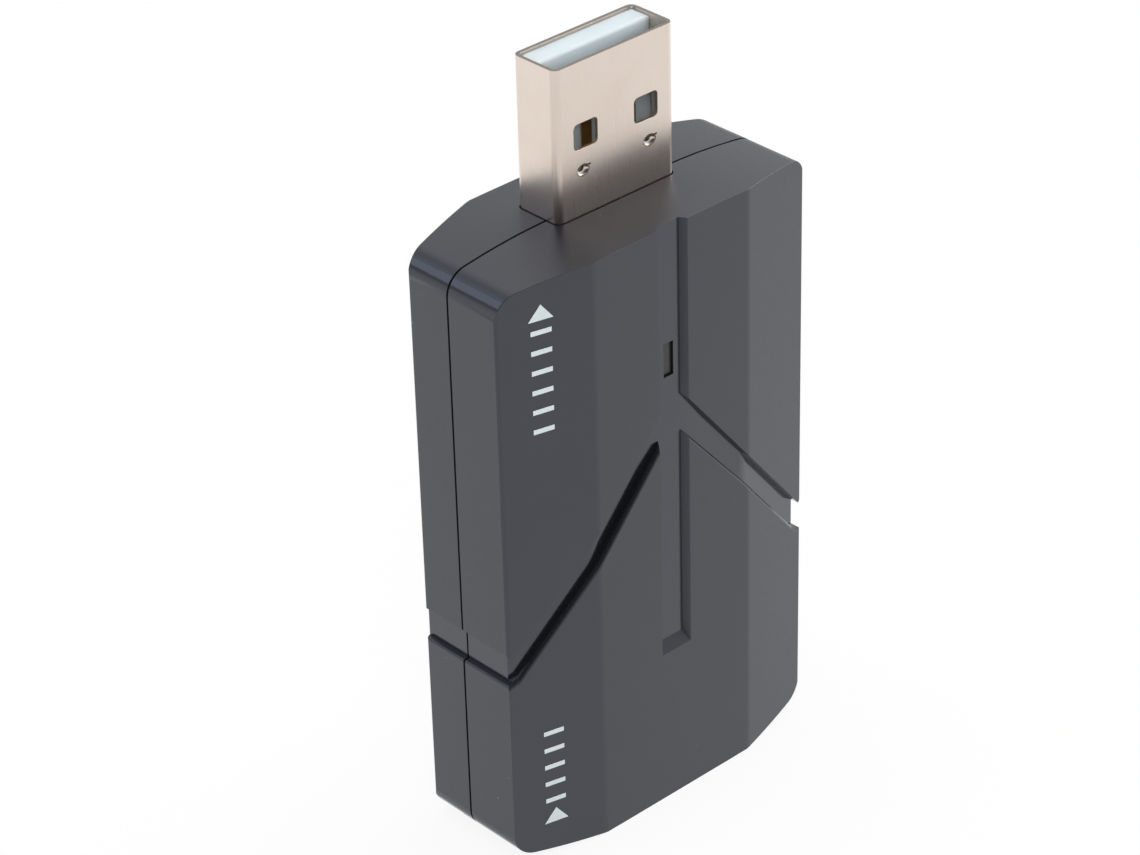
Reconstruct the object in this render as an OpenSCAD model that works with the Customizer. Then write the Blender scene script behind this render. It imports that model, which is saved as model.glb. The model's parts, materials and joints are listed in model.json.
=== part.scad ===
// Pocket video capture stick: a two-shell plastic case with a flat data plug on top,
// a video socket in the lower end and a circuit board between them.
// It stands upright: X is its width, Y its thickness with the face at -Y, Z its length.

/* [Case] */
// Width of the case
body_w = 31.8; // [29:0.1:40]
// Length of the case, without the plug
body_h = 51.6; // [49:0.1:60]
// Depth of the front shell, seam to face
front_depth = 7.15; // [6.6:0.05:9]
// Depth of the rear shell, seam to back
rear_depth = 6.5; // [5.8:0.05:9]
// Depth of the front shell at its side walls
side_front = 5.2; // [4.2:0.05:6.4]
// Depth of the rear shell at its side walls
side_rear = 4.35; // [3.6:0.05:5.6]
// Width of the flat middle of the face and the back
face_w = 16; // [13:0.1:20]
// Wall thickness
wall = 1.6; // [1.4:0.05:2]
// Radius of the four corners in front view
corner_r = 2; // [1.6:0.1:3]
// Radius of the edges where the face and the back meet the sides
edge_r = 0.4; // [0.2:0.05:0.8]
// Radius of the bends in the face and the back
bend_r = 4; // [1:0.5:8]
// Length of the straight middle of both ends
end_flat = 11.4; // [8:0.2:15]
// Radius by which both ends fall away towards the corners
shoulder_r = 57; // [40:1:90]

/* [Seam between the shells] */
// Open seam line on the outside
seam_gap = 0.15; // [0.05:0.01:0.3]
// Height of the lip of the rear shell that enters the front shell
lip_h = 1.1; // [0.8:0.05:1.6]
// Thickness of that lip
lip_t = 0.7; // [0.5:0.05:0.9]
// Clearance outside the lip
lip_clear = 0.08; // [0.04:0.01:0.15]
// Radius of the snap catches on the lip
catch_r = 0.3; // [0.2:0.05:0.4]
// Length of a snap catch
catch_l = 5; // [3:0.5:7]
// Distance of the catches from both ends of the case
catch_end = 9; // [7:0.5:13]

/* [Grooves in the face] */
// Depth of the grooves
groove_depth = 0.75; // [0.4:0.05:0.9]
// Width of the upright channel at its lips
channel_w = 3.25; // [2.6:0.05:4.5]
// Width of the channel at its floor
channel_floor_w = 2.3; // [1.8:0.05:2.5]
// Distance from the top of the case to the lower lip of the channel
channel_end = 37.7; // [36:0.1:42]
// Run of the sloping lower end of the channel
channel_ramp = 1.1; // [0.4:0.1:2]
// Distance from the top to the point where the upper lips of the branches meet
branch_drop = 13.9; // [12:0.1:16]
// Fall of the branches below level on the flat of the face, in degrees
branch_angle = 51; // [45:0.5:54]
// Width of a branch at the channel
branch_w = 2.1; // [1.4:0.05:2.6]
// Height of a branch's upper lip above the foot of the notch's upper wall, where they meet
branch_lift = 0.05; // [0.03:0.01:0.15]
// Distance from the side at which the lower lip of a branch turns to the notch
branch_turn = 2; // [1:0.1:3]
// Height of that turn above the notch's lower lip
branch_turn_h = 1.3; // [0.8:0.1:1.8]
// Height at which the lower lip of a branch enters the notch, above the notch's lower lip
branch_step = 0.15; // [0.1:0.05:0.3]
// Distance from the top to the upper lip of the side notches
notch_drop = 31.7; // [30:0.1:33]
// Height of the side notches at their lips
notch_h = 2.85; // [2.2:0.05:3.4]
// Depth of the side notches
notch_depth = 0.45; // [0.3:0.05:0.6]
// Slope of the notch walls, as a run
notch_slope = 0.4; // [0.1:0.05:0.7]
// Width of the lamp slot in the channel
lamp_slot_w = 1; // [0.8:0.05:1.6]
// Height of the lamp slot
lamp_slot_h = 2.9; // [2:0.1:4]
// Distance from the top to the lamp slot
lamp_slot_drop = 10.2; // [9.6:0.1:10.6]
// Wall of the light shield behind the slot
shield_wall = 0.8; // [0.5:0.05:1.2]
// Gap between the light shield and the lamp
shield_gap = 0.3; // [0.2:0.05:0.8]
// Depth of the light guide's end below the floor of the channel
guide_set = 0.35; // [0.2:0.05:0.6]
// Length of the light guide's wide part, pressed into the shield
guide_l = 3.2; // [1.5:0.1:3.6]
// Clearance round the light guide's end in the slot
guide_clear = 0.05; // [0.02:0.01:0.1]

/* [Plug] */
// Width of the plug shell
plug_w = 12; // [11.9:0.05:12.1]
// Thickness of the plug shell
plug_t = 4.5; // [4.4:0.05:4.6]
// Length of the plug outside the case
plug_out = 12.5; // [11.75:0.05:14]
// Length of the plug inside the case
plug_in = 6.3; // [5.6:0.1:7]
// Sheet thickness of the plug shell
plug_metal = 0.3; // [0.25:0.01:0.35]
// Outside corner radius of the plug shell
plug_r = 0.6; // [0.45:0.05:0.8]
// Distance from the seam to the middle of the plug, towards the back
plug_set = 0.92; // [0.4:0.02:1.4]
// Clearance of the case around the plug
plug_clear = 0.1; // [0.05:0.01:0.2]
// Width of a latch window
window_w = 2.4; // [2:0.05:2.6]
// Height of a latch window
window_h = 2.1; // [1.8:0.05:2.4]
// Distance of a window's middle from the plug's middle
window_x = 3.05; // [2.7:0.05:3.2]
// Corner radius of a latch window
window_r = 0.4; // [0.2:0.05:0.6]
// Height of the windows' middle above the case
window_z = 6.5; // [5.8:0.1:7.5]
// Width of the plug's solder legs
leg_w = 1.6; // [1:0.1:2.2]
// Length of the plug's solder legs
leg_l = 2.6; // [2:0.1:3.4]

/* [Plug insulator and contacts] */
// Thickness of the insulator's tongue
blade_t = 1.95; // [1.8:0.05:2.1]
// Depth of the tongue's end below the rim of the shell
blade_set = 0.4; // [0.2:0.05:0.8]
// Height of the insulator's solid base
base_h = 8.2; // [7.4:0.1:9]
// Clearance of the insulator in the shell
blade_clear = 0.03; // [0.02:0.01:0.06]
// Width of a plug contact
contact_w = 1; // [0.8:0.05:1.2]
// Thickness of a plug contact
contact_t = 0.25; // [0.2:0.01:0.35]
// How far a contact stands out of the tongue
contact_proud = 0.1; // [0.06:0.01:0.16]
// Distance of the outer contacts from the middle
outer_contact_x = 3.5; // [3.4:0.05:3.6]
// Distance of the inner contacts from the middle
inner_contact_x = 1; // [0.9:0.05:1.1]
// Distance from the tongue's end to the outer contacts
outer_contact_set = 1; // [0.6:0.1:1.4]
// Distance from the tongue's end to the inner contacts
inner_contact_set = 2; // [1.6:0.1:2.6]
// Length of the contact tails on the board
tail_l = 2.2; // [1.6:0.1:2.8]
// Height of the bend in the contacts above the board's edge
bend_h = 1.6; // [1.2:0.1:2.4]

/* [Video socket] */
// Width of the socket's mouth
socket_w = 14; // [13.9:0.05:14.1]
// Height of the socket's mouth
socket_h = 4.55; // [4.5:0.05:4.6]
// Width of the narrow side of the mouth
socket_floor_w = 11.2; // [10:0.1:12]
// Height of the mouth's upright sides
socket_step = 2.4; // [2:0.1:3]
// Sheet thickness of the socket shell
socket_metal = 0.35; // [0.25:0.01:0.4]
// Length of the socket shell
socket_l = 11.4; // [10.5:0.1:12.5]
// Depth of the socket's rim inside the end of the case
socket_set = 0.3; // [0.1:0.05:0.6]
// Distance from the seam to the middle of the socket, towards the front
socket_fore = 0.325; // [0.2:0.025:0.5]
// Clearance of the case and the board around the socket
socket_clear = 0.12; // [0.05:0.01:0.2]
// Length of the insulator's base
socket_base = 4.2; // [3.4:0.1:5]
// Clearance of the insulator in the shell
socket_fit = 0.03; // [0.02:0.01:0.06]
// Thickness of the socket's tongue
vane_t = 1.5; // [1.3:0.05:1.7]
// Width of the socket's tongue
vane_w = 10.6; // [10.3:0.1:10.9]
// Distance from the mouth to the end of the tongue
vane_set = 1.6; // [1.2:0.1:2.4]
// Spacing of the contacts in one row
pin_pitch = 1; // [0.95:0.01:1.05]
// Number of contacts in the front row, one more than in the rear row
pin_count = 10; // [8:1:10]
// Width of a socket contact
pin_w = 0.28; // [0.2:0.02:0.34]
// Thickness of a socket contact
pin_t = 0.15; // [0.1:0.01:0.2]
// How far a socket contact stands out of the tongue
pin_proud = 0.08; // [0.05:0.01:0.12]
// Distance from the tongue's end to the contacts
pin_set = 0.8; // [0.5:0.1:1.2]
// Length of the contact tails on the board
pin_tail = 1.5; // [1:0.1:2]
// Width of the spring fingers in the socket shell
finger_w = 2; // [1.6:0.1:2.4]
// Length of the spring fingers
finger_l = 5; // [4:0.1:6]
// Width of the slits round the spring fingers
finger_slit = 0.4; // [0.3:0.05:0.6]
// Distance of the spring fingers from the middle
finger_x = 3.4; // [2.4:0.1:4]
// Reach of the socket's solder tabs past the shell
tab_w = 1.5; // [1.2:0.1:2]
// Length of a solder tab along the socket
tab_l = 1.7; // [1.2:0.1:2.2]
// Distance of the two tabs of a side from the ends of the board slot
tab_end = 1.2; // [0.8:0.1:1.6]
// Length of a tab's leg along the socket
tab_leg_l = 0.85; // [0.6:0.05:1]
// How far the tabs' legs stand out behind the board
tab_leg_out = 0.4; // [0.2:0.1:0.8]

/* [Circuit board] */
// Thickness of the board
board_t = 1.2; // [1:0.1:1.6]
// Clearance between the board and the inside of the case
board_gap = 0.5; // [0.3:0.05:0.8]
// Smallest corner radius of inner outlines
inner_r = 0.3; // [0.2:0.05:0.4]
// Clearance of slots and holes in the board
hole_clear = 0.1; // [0.05:0.01:0.15]
// Radius of the posts that hold the board
post_r = 1.3; // [1.1:0.05:1.6]
// Radius of the locating pins on the rear posts
pin_r = 0.65; // [0.5:0.05:0.8]
// Distance from the board's side edges to the posts
post_side = 2.1; // [1.8:0.1:2.6]
// Distance from the board's top edge to the upper posts
post_top = 4.2; // [3.6:0.1:6]
// Distance from the socket's end to the lower posts
post_low = 3.4; // [2.6:0.1:5]
// Reach of a locating pin into the front post
pin_reach = 0.7; // [0.4:0.1:1]

/* [Parts on the board] */
// Side of the capture chip
chip_w = 9; // [7:0.5:10]
// Thickness of the capture chip
chip_t = 0.9; // [0.7:0.05:1.2]
// Radius of the first-pin mark on the capture chip
mark_r = 0.5; // [0.3:0.05:0.7]
// Depth of that mark
mark_depth = 0.1; // [0.05:0.01:0.2]
// Distance of the mark's middle from the chip's edges
mark_set = 1.5; // [1:0.1:2]
// Length of the memory chip
memory_l = 4.9; // [4.4:0.1:5.2]
// Width of the memory chip's body
memory_w = 3.9; // [3.4:0.1:4.2]
// Thickness of the memory chip's body
memory_t = 1.4; // [1.1:0.05:1.6]
// Spacing of the memory chip's leads
lead_pitch = 1.27; // [1.2:0.01:1.3]
// Width of a lead
lead_w = 0.42; // [0.3:0.02:0.5]
// Thickness of a lead
lead_t = 0.2; // [0.15:0.01:0.25]
// Reach of the memory chip's leads past its body
lead_reach = 1; // [0.8:0.05:1.2]
// Length of the crystal's can
crystal_l = 3.2; // [3:0.1:5]
// Width of the crystal's can
crystal_w = 2.5; // [2:0.1:3.2]
// Thickness of the crystal's can
crystal_t = 0.8; // [0.6:0.05:1.2]
// Step round the crystal's lid
lid_step = 0.2; // [0.1:0.05:0.3]
// Length of a voltage regulator
regulator_l = 2.9; // [2.6:0.1:3.2]
// Width of a voltage regulator's body
regulator_w = 1.6; // [1.4:0.1:1.9]
// Thickness of a voltage regulator
regulator_t = 1.1; // [0.9:0.05:1.3]
// Spacing of a regulator's leads
regulator_pitch = 0.95; // [0.9:0.01:1]
// Reach of a regulator's leads past its body
regulator_reach = 0.6; // [0.5:0.05:0.8]
// Side of a power inductor
coil_w = 3; // [2.5:0.1:4]
// Thickness of a power inductor
coil_t = 1.5; // [1.2:0.1:2]
// Outside radius of the ring groove in an inductor's top
ring_r = 1.15; // [0.9:0.05:1.2]
// Width of that ring groove
ring_w = 0.25; // [0.15:0.05:0.4]
// Depth of that ring groove
ring_depth = 0.15; // [0.1:0.05:0.3]
// Length of the status lamp
lamp_l = 2; // [1.6:0.1:2]
// Width of the status lamp
lamp_w = 1.25; // [0.8:0.05:1.25]
// Thickness of the status lamp
lamp_t = 0.8; // [0.6:0.05:1]
// Length of the lamp's dome
lamp_dome_l = 1.3; // [1:0.05:1.5]
// Thickness of the lamp's foot
lamp_foot_t = 0.3; // [0.2:0.05:0.5]
// Length of a chip capacitor or resistor
chip_part_l = 1.6; // [1:0.1:2]
// Width of a chip capacitor or resistor
chip_part_w = 0.8; // [0.5:0.05:1]
// Thickness of a chip capacitor
capacitor_t = 0.8; // [0.5:0.05:1]
// Thickness of a chip resistor
resistor_t = 0.45; // [0.3:0.05:0.6]
// Length of a bulk capacitor
bulk_l = 3.5; // [3.2:0.1:4]
// Width of a bulk capacitor
bulk_w = 2.8; // [1.6:0.1:3]
// Thickness of a bulk capacitor
bulk_t = 1.9; // [1.4:0.1:2.1]
// Length of a surge protector
surge_l = 2.5; // [2:0.1:2.8]
// Width of a surge protector
surge_w = 1; // [0.8:0.1:1.3]
// Thickness of a surge protector
surge_t = 0.6; // [0.4:0.05:0.8]
// Length of a ferrite bead
bead_l = 2; // [1.6:0.1:2.2]
// Width of a ferrite bead
bead_w = 1.25; // [0.8:0.05:1.3]
// Thickness of a ferrite bead
bead_t = 0.9; // [0.7:0.05:1]
// Length of the soldered cap on each end of a small part
cap_l = 0.35; // [0.2:0.05:0.45]
// How far the caps stand out round a small part's body
cap_proud = 0.04; // [0.02:0.01:0.08]
// Room between neighbouring parts on the board
part_room = 0.7; // [0.5:0.05:0.8]
// Number of chip capacitors in a row
row_count = 5; // [3:1:5]

/* [Hidden] */
$fn = 48;
over = 0.5;
shoulder_steps = 6;
corner_steps = 10;
edge_steps = 5;

// Places across the thickness, with the case centred on Y = 0
seam_y = (front_depth - rear_depth) / 2;
front_y = seam_y - front_depth;
back_y = seam_y + rear_depth;
plug_y = seam_y + plug_set;
board_front = plug_y - board_t / 2;
board_back = plug_y + board_t / 2;
socket_y = seam_y - socket_fore;

// Places along the length, from the lower end
half_w = body_w / 2;
board_top = body_h - plug_in;
plug_top = body_h + plug_out;
blade_top = plug_top - blade_set;
socket_top = socket_set + socket_l;
socket_back = socket_top + socket_clear;
lamp_z = body_h - lamp_slot_drop - lamp_slot_h / 2;
board_half_w = half_w - wall - board_gap;
post_x = board_half_w - post_side;
post_z = [socket_top + post_low, board_top - post_top];

// Points of an arc about a centre, from one angle to another
function arc(centre, r, from, to, steps) = [
    for (i = [0 : steps]) let (a = from + (to - from) * i / steps) centre + r * [cos(a), sin(a)]
];
function backwards(points) = [for (i = [len(points) - 1 : -1 : 0]) points[i]];
function turned(points, x, z) = [for (p = points) [x * p[0], z * p[1] + body_h / 2]];

// One quarter of the front view, taken in by an inset: half of the straight end, the shoulder
// that falls away in a wide arc, and the corner; inner corners keep a small radius
function quarter(inset) = let (
    r = max(corner_r - inset, inner_r),
    shoulder = [end_flat / 2, body_h / 2 - shoulder_r],
    reach = half_w - inset - r - shoulder[0],
    tangent = acos(reach / (shoulder_r - inset - r)),
    corner = shoulder + (shoulder_r - inset - r) * [cos(tangent), sin(tangent)]
) concat(
    arc(shoulder, shoulder_r - inset, 90, tangent, shoulder_steps),
    arc(corner, r, tangent * (1 - 1 / corner_steps), 0, corner_steps - 1)
);

// Front view of the case
module outline(inset = 0) {
    q = quarter(inset);
    polygon(concat(
        turned(q, 1, 1), turned(backwards(q), 1, -1), turned(q, -1, -1), turned(backwards(q), -1, 1)
    ));
}

// Cross-section of the case: a flat middle and a slanted facet on each side, front and back
function facet(depth, side) = atan2(depth - side, half_w - face_w / 2);
function flat_x(inset, angle) = face_w / 2 - inset * tan(angle / 2);
function edge_y(inset, angle, depth) = depth - inset * cos(angle)
    - (half_w - inset - face_w / 2 + inset * sin(angle)) * tan(angle);
front_facet = facet(front_depth, side_front);
rear_facet = facet(rear_depth, side_rear);

// A corner of a polygon, rounded by an arc between the points where it leaves the two sides
function unit(v) = v / norm(v);
function rounded_corner(before, corner, after, r) = let (
    a = unit(before - corner),
    b = unit(after - corner),
    half = acos(a * b) / 2,
    centre = corner + unit(a + b) * r / sin(half),
    from = corner + a * r / tan(half) - centre,
    to = corner + b * r / tan(half) - centre,
    sweep = 180 - 2 * half
) [for (i = [0 : edge_steps]) let (k = i / edge_steps)
    centre + (from * sin((1 - k) * sweep) + to * sin(k * sweep)) / sin(sweep)];
function rounded_corners(points, radii) = let (n = len(points)) [
    for (i = [0 : n - 1]) each
        rounded_corner(points[(i + n - 1) % n], points[i], points[(i + 1) % n], radii[i % len(radii)])
];

// The outside has rounded edges and soft bends; the inside keeps its corners
module section(inset = 0) {
    fx = flat_x(inset, front_facet);
    fy = edge_y(inset, front_facet, front_depth);
    rx = flat_x(inset, rear_facet);
    ry = edge_y(inset, rear_facet, rear_depth);
    hw = half_w - inset;
    corners = [
        [-fx, inset - front_depth], [fx, inset - front_depth], [hw, -fy], [hw, ry],
        [rx, rear_depth - inset], [-rx, rear_depth - inset], [-hw, ry], [-hw, -fy]
    ];
    translate([0, seam_y]) polygon(
        inset > 0 ? corners : rounded_corners(corners, [bend_r, bend_r, edge_r, edge_r]));
}

module upright(y_low, y_high) {
    translate([0, y_high, 0]) rotate([90, 0, 0]) linear_extrude(y_high - y_low) children();
}

module case_form(inset = 0) {
    intersection() {
        upright(front_y, back_y) outline(inset);
        linear_extrude(body_h) section(inset);
    }
}

// Everything between two planes across the thickness
module slab(y_low, y_high) {
    translate([-body_w, y_low, -over]) cube([2 * body_w, y_high - y_low, body_h + 2 * over]);
}

module rounded(w, t, r) {
    square([w - 2 * r, t], center = true);
    square([w, t - 2 * r], center = true);
    for (x = [-1, 1], y = [-1, 1]) translate([x * (w / 2 - r), y * (t / 2 - r)]) circle(r);
}

// Mouth of the socket, wide side to the front, grown evenly by a sheet or a clearance
socket_slant = atan2((socket_w - socket_floor_w) / 2, socket_h - socket_step);
function socket_points(grow) = let (
    x = socket_w / 2 + grow,
    knee = socket_step - socket_h / 2 + grow * tan(socket_slant / 2),
    foot = socket_floor_w / 2 + grow * (1 - sin(socket_slant)) / cos(socket_slant),
    y = socket_h / 2 + grow
) [[-x, -y], [x, -y], [x, knee], [foot, y], [-foot, y], [-x, knee]];

module socket_form(grow, low, high) {
    translate([0, socket_y, low]) linear_extrude(high - low) polygon(socket_points(grow));
}

module plug_form(grow, low, high) {
    translate([0, plug_y, low]) linear_extrude(high - low)
        rounded(plug_w + 2 * grow, plug_t + 2 * grow, plug_r + grow);
}

// Openings for the plug and the socket, shared by both shells
module end_openings() {
    plug_form(plug_clear, board_top, plug_top);
    socket_form(socket_metal + socket_clear, -over, socket_back);
}

// Upright channel with sloping walls, open at the top end and ramped at the lower end
module channel_cut() {
    low = body_h - channel_end;
    steep = (channel_w - channel_floor_w) / 2 / groove_depth;
    mouth = channel_w / 2 + over * steep;
    slope = channel_ramp / groove_depth;
    intersection() {
        translate([0, front_y, 0]) linear_extrude(body_h + over) polygon([
            [-mouth, -over], [mouth, -over],
            [channel_floor_w / 2, groove_depth], [-channel_floor_w / 2, groove_depth]
        ]);
        translate([-channel_w, front_y, low]) rotate([90, 0, 90]) linear_extrude(2 * channel_w) polygon([
            [-over, -over * slope], [groove_depth, channel_ramp],
            [groove_depth, body_h], [-over, body_h]
        ]);
    }
}

// Everything behind the bent face once it is set back by a depth, past both sides
module behind_face(depth) {
    fx = flat_x(depth, front_facet);
    far = body_w;
    far_y = depth - front_depth + (far - fx) * tan(front_facet);
    translate([0, seam_y]) linear_extrude(body_h) polygon([
        [-far, far_y], [-fx, depth - front_depth], [fx, depth - front_depth], [far, far_y],
        [far, rear_depth], [-far, rear_depth]
    ]);
}

// One branch, from the channel down to the notch in the side; its floor follows the bent face
module branch_cut() {
    top = body_h - branch_drop;
    bend_x = face_w / 2;
    bend_z = top - bend_x * tan(branch_angle);
    notch_top = body_h - notch_drop;
    meet_x = half_w - notch_depth;
    meet_z = notch_top - notch_slope + branch_lift;
    end_x = half_w + over;
    end_z = bend_z + (meet_z - bend_z) * (end_x - bend_x) / (meet_x - bend_x);
    notch_low = notch_top - notch_h;
    turn_x = half_w - branch_turn;
    turn_z = notch_low + branch_turn_h;
    low_z = turn_z + (notch_low + branch_step - turn_z) * (branch_turn + over) / branch_turn;
    difference() {
        upright(front_y - over, seam_y) polygon([
            [0, top], [bend_x, bend_z], [end_x, end_z], [end_x, low_z], [turn_x, turn_z],
            [0, top - branch_w / cos(branch_angle)]
        ]);
        behind_face(groove_depth);
    }
}

// Notch with sloping walls in one side, cut through both shells
module notch_cut() {
    top = body_h - notch_drop;
    steep = notch_slope / notch_depth;
    upright(front_y - over, back_y + over) polygon([
        [half_w - notch_depth, top - notch_slope],
        [half_w + over, top + over * steep],
        [half_w + over, top - notch_h - over * steep],
        [half_w - notch_depth, top - notch_h + notch_slope]
    ]);
}

module both_sides() {
    children();
    mirror([1, 0, 0]) children();
}

// Ring between two insets of the outline, for the lip and its rebate
module seam_ring(outside, inside, y_low, y_high) {
    upright(y_low, y_high) difference() {
        outline(outside);
        outline(inside);
    }
}

// Snap catches along the sides of the lip, grown by a clearance in the front shell
module catches(grow) {
    x = half_w - wall + lip_t;
    length = catch_l + 2 * grow;
    both_sides() for (z = [catch_end, body_h - catch_end])
        translate([x, seam_y - lip_h / 2, z - length / 2]) cylinder(r = catch_r + grow, h = length);
}

module at_posts() {
    for (side = [-1, 1], z = post_z) translate([side * post_x, 0, z]) rotate([-90, 0, 0]) children();
}

module front_shell() {
    color([0.09, 0.09, 0.1]) {
        difference() {
            intersection() {
                case_form();
                slab(front_y - over, seam_y - seam_gap / 2);
            }
            case_form(wall);
            seam_ring(wall - lip_t - lip_clear, wall + over, seam_y - lip_h, seam_y);
            catches(lip_clear);
            end_openings();
            channel_cut();
            both_sides() branch_cut();
            both_sides() notch_cut();
            translate([-lamp_slot_w / 2, front_y - over, lamp_z - lamp_slot_h / 2])
                cube([lamp_slot_w, wall + 2 * over, lamp_slot_h]);
        }
        front_posts();
        light_shield();
    }
}

// Front posts press the board against the rear posts and take the ends of the locating pins
module front_posts() {
    difference() {
        intersection() {
            translate([0, front_y, 0]) at_posts() cylinder(r = post_r, h = board_front - front_y);
            case_form(wall / 2);
        }
        translate([0, board_front - pin_reach - hole_clear, 0]) at_posts()
            cylinder(r = pin_r + hole_clear, h = pin_reach + over);
    }
}

// Square tube that leads the lamp's light to its slot
module light_shield() {
    inside = front_y + wall - hole_clear;
    end = board_front - lamp_t - shield_gap;
    translate([0, inside, lamp_z]) rotate([-90, 0, 0]) linear_extrude(end - inside) difference() {
        square([shield_w, shield_h], center = true);
        square([shield_w - 2 * shield_wall, shield_h - 2 * shield_wall], center = true);
    }
}

module rear_shell() {
    color([0.09, 0.09, 0.1]) {
        difference() {
            union() {
                intersection() {
                    case_form();
                    slab(seam_y + seam_gap / 2, back_y + over);
                }
                seam_ring(wall - lip_t, wall, seam_y - lip_h, seam_y + seam_gap);
                catches(0);
            }
            case_form(wall);
            end_openings();
            both_sides() notch_cut();
        }
        rear_posts();
    }
}

// Rear posts carry the board, each with a locating pin through it
module rear_posts() {
    intersection() {
        translate([0, board_back, 0]) at_posts() cylinder(r = post_r, h = back_y - board_back);
        case_form(wall / 2);
    }
    translate([0, board_front - pin_reach, 0]) at_posts()
        cylinder(r = pin_r, h = board_back - board_front + pin_reach + over);
}

// Folded shell of the plug with latch windows on both faces and two solder legs
module plug_shell() {
    color([0.86, 0.83, 0.79]) {
        difference() {
            plug_form(0, board_top, plug_top);
            plug_form(-plug_metal, board_top - over, plug_top + over);
            for (x = [-window_x, window_x]) translate([x, 0, body_h + window_z])
                upright(plug_y - plug_t, plug_y + plug_t) rounded(window_w, window_h, window_r);
        }
        for (side = [0, 1]) mirror([side, 0, 0])
            translate([plug_w / 2 - plug_metal, plug_y - leg_w / 2, board_top - leg_l])
                cube([plug_metal, leg_w, leg_l]);
    }
}

// A plug contact seen from the side: bar on the tongue, bend in the base, tail on the board
blade_front = plug_y + plug_t / 2 - plug_metal - blade_clear - blade_t;
module contact_form(x, set) {
    bar = blade_front - contact_proud;
    tail = board_front - contact_t;
    bend = board_top + bend_h;
    translate([x - contact_w / 2, 0, 0]) rotate([90, 0, 90]) linear_extrude(contact_w) polygon([
        [bar, blade_top - set], [bar + contact_t, blade_top - set],
        [bar + contact_t, bend], [tail + contact_t, bend],
        [tail + contact_t, board_top - tail_l], [tail, board_top - tail_l],
        [tail, bend + contact_t], [bar, bend + contact_t]
    ]);
}

module plug_contacts() {
    color([0.85, 0.65, 0.3]) both_sides() {
        contact_form(outer_contact_x, outer_contact_set);
        contact_form(inner_contact_x, inner_contact_set);
    }
}

// Insulator of the plug: a solid base in the shell and a tongue along its rear wall
module plug_insulator() {
    w = plug_w - 2 * (plug_metal + blade_clear);
    t = plug_t - 2 * (plug_metal + blade_clear);
    r = plug_r - plug_metal;
    color([0.88, 0.93, 0.95]) difference() {
        intersection() {
            translate([0, plug_y, board_top]) linear_extrude(blade_top - board_top) rounded(w, t, r);
            union() {
                translate([-plug_w, plug_y - plug_t, board_top]) cube([2 * plug_w, 2 * plug_t, base_h]);
                translate([-plug_w, blade_front, board_top]) cube([2 * plug_w, plug_t, blade_top]);
            }
        }
        both_sides() {
            contact_form(outer_contact_x, outer_contact_set);
            contact_form(inner_contact_x, inner_contact_set);
        }
    }
}

// Board with the socket's slot, the plug legs' slots, the tab legs' slots and the pin holes
module circuit_board() {
    slot_w = socket_w + 2 * (socket_metal + socket_clear);
    leg_slot = plug_metal + 2 * hole_clear;
    color([0.05, 0.28, 0.2]) difference() {
        upright(board_front, board_back) difference() {
            intersection() {
                outline(wall + board_gap);
                translate([-half_w, 0]) square([body_w, board_top]);
            }
            translate([-slot_w / 2, 0]) square([slot_w, socket_back]);
            for (side = [0, 1]) mirror([side, 0]) {
                translate([plug_w / 2 - plug_metal / 2 - leg_slot / 2, board_top - leg_l - hole_clear])
                    square([leg_slot, leg_l + over]);
                for (z = tab_z) translate([tab_leg_x - hole_clear, z - tab_leg_l / 2 - hole_clear])
                    square([socket_metal + 2 * hole_clear, tab_leg_l + 2 * hole_clear]);
            }
        }
        translate([0, board_front - over, 0]) at_posts()
            cylinder(r = pin_r + hole_clear, h = board_t + 2 * over);
    }
}

// Solder tabs of the socket: flat on the board's face, each with a leg through the board
tab_low = wall + board_gap + tab_end + tab_l / 2;
tab_z = [tab_low, socket_top - tab_end - tab_l / 2];
tab_leg_x = socket_w / 2 + socket_metal + tab_w - socket_metal;

module socket_shell() {
    color([0.8, 0.8, 0.8]) {
        difference() {
            socket_form(socket_metal, socket_set, socket_top);
            socket_form(0, socket_set - over, socket_top + over);
            both_sides() finger_slits();
        }
        both_sides() for (z = tab_z) solder_tab(z);
    }
}

// Three slits that leave a spring finger standing in the wide wall
module finger_slits() {
    low = socket_set + vane_set;
    y = socket_y - socket_h;
    for (x = [finger_x - finger_w / 2 - finger_slit, finger_x + finger_w / 2])
        translate([x, y, low]) cube([finger_slit, socket_h, finger_l]);
    translate([finger_x - finger_w / 2 - finger_slit, y, low])
        cube([finger_w + 2 * finger_slit, socket_h, finger_slit]);
}

module solder_tab(z) {
    start = socket_w / 2 + socket_metal / 2;
    translate([start, board_front - socket_metal, z - tab_l / 2])
        cube([tab_leg_x + socket_metal - start, socket_metal, tab_l]);
    translate([tab_leg_x, board_front - socket_metal, z - tab_leg_l / 2])
        cube([socket_metal, socket_metal + board_t + tab_leg_out, tab_leg_l]);
}

// Socket contacts: the rear row runs straight onto the board, the front row bends down to it
vane_back = board_front - pin_proud;
vane_front = vane_back - vane_t;
pin_low = socket_set + vane_set + pin_set;
pin_end = socket_back + pin_tail;
row_half = (pin_count - 1) * pin_pitch / 2;

module rear_pin(x) {
    translate([x - pin_w / 2, board_front - pin_t, pin_low]) cube([pin_w, pin_t, pin_end - pin_low]);
}

module front_pin(x) {
    bar = vane_front - pin_proud;
    tail = board_front - pin_t;
    translate([x - pin_w / 2, 0, 0]) rotate([90, 0, 90]) linear_extrude(pin_w) polygon([
        [bar, pin_low], [bar + pin_t, pin_low], [bar + pin_t, socket_top],
        [tail + pin_t, socket_top], [tail + pin_t, pin_end], [tail, pin_end],
        [tail, socket_top + pin_t], [bar, socket_top + pin_t]
    ]);
}

module socket_contacts() {
    color([0.85, 0.65, 0.3]) {
        for (i = [0 : pin_count - 1]) front_pin(i * pin_pitch - row_half);
        for (i = [0 : pin_count - 2]) rear_pin((i + 0.5) * pin_pitch - row_half);
    }
}

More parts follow.
